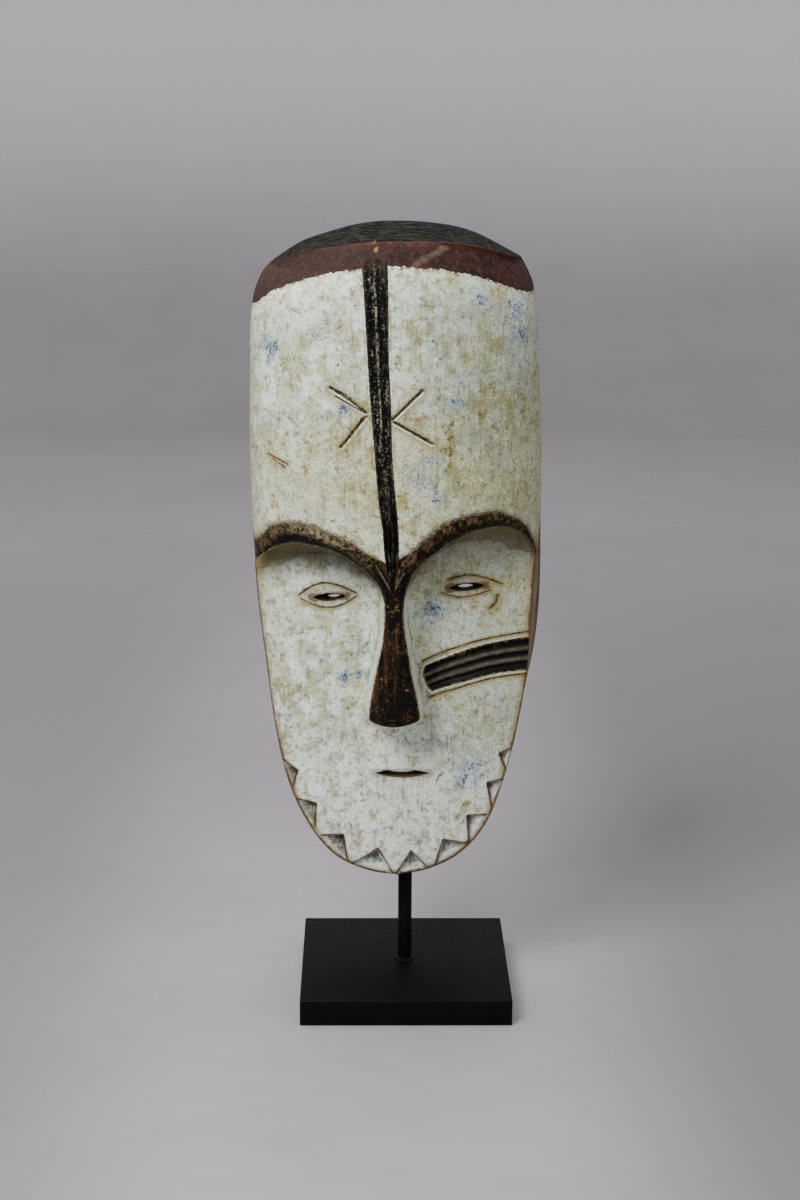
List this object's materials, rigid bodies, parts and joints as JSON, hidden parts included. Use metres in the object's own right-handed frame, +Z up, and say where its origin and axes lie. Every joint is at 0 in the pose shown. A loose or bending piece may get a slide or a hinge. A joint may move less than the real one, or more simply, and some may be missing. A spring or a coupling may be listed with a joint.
{
  "type": "carved face mask on a stand",
  "caption": "Tall carved and painted wooden face mask with a long nose, arched brows and a hollow back, held upright by a thin rod on a square board.",
  "frame": {"origin": "centre of the square board's underside, where the object stands on the table", "axes": "+Z up along the rod; +Y to the open back of the mask, so its face looks along -Y; +X to a viewer's right"},
  "size_m": [0.2065, 0.15, 0.5537],
  "materials": {
    "painted_wood": "worn matte white clay paint on carved wood, with black and red-brown areas",
    "black_rod": "satin black",
    "black_board": "satin black paint with small chips on the edges"
  },
  "bodies": {
    "root": {"mask": "painted_wood", "stand_rod": "black_rod", "base_plate": "black_board"}
  },
  "joints": []
}
